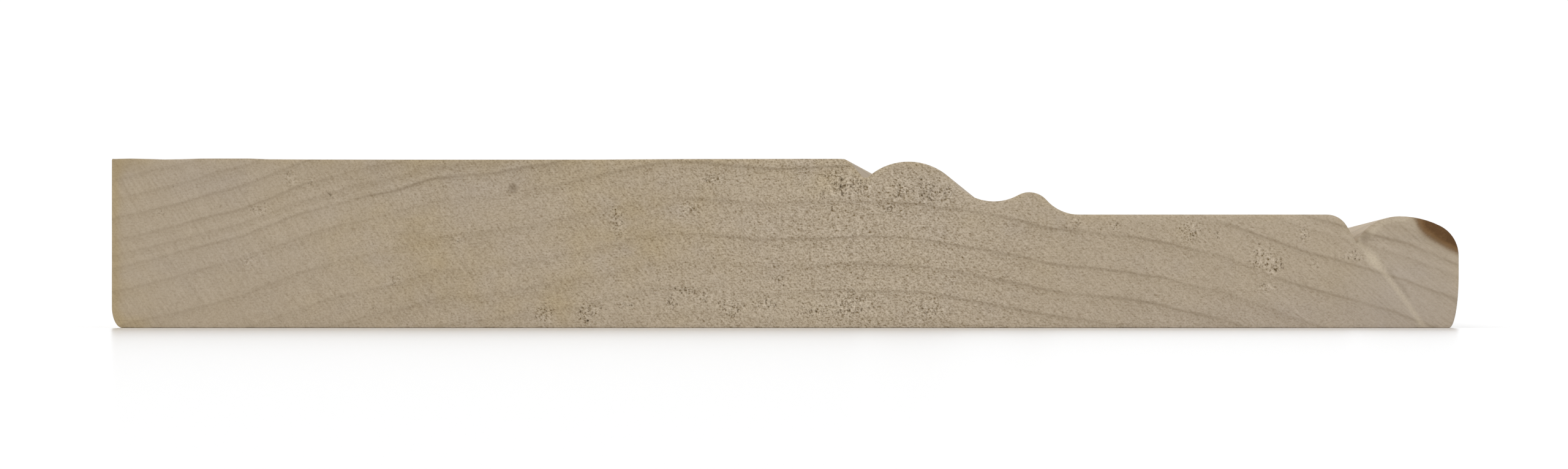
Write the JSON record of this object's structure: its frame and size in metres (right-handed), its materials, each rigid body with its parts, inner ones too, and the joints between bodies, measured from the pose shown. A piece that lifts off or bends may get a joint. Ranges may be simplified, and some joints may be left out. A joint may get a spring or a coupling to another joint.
{
  "type": "skirting board",
  "caption": "Moulded hardwood skirting board with a flat fascia, quirked bead, cove, small bead, stepped flat and rounded nose, a flat back and square-cut ends.",
  "frame": {"origin": "centre of the back face, which lies down on z = 0", "axes": "+Z out of the moulded face; +Y along the board; +X across it, from the floor edge to the nose that is uppermost on a wall"},
  "size_m": [0.14, 1, 0.0176],
  "materials": {
    "hardwood": "bare, unfinished pale hardwood: planed and moulded along its length, sawn across its ends"
  },
  "bodies": {
    "root": {"skirting_board": "hardwood"}
  },
  "joints": []
}
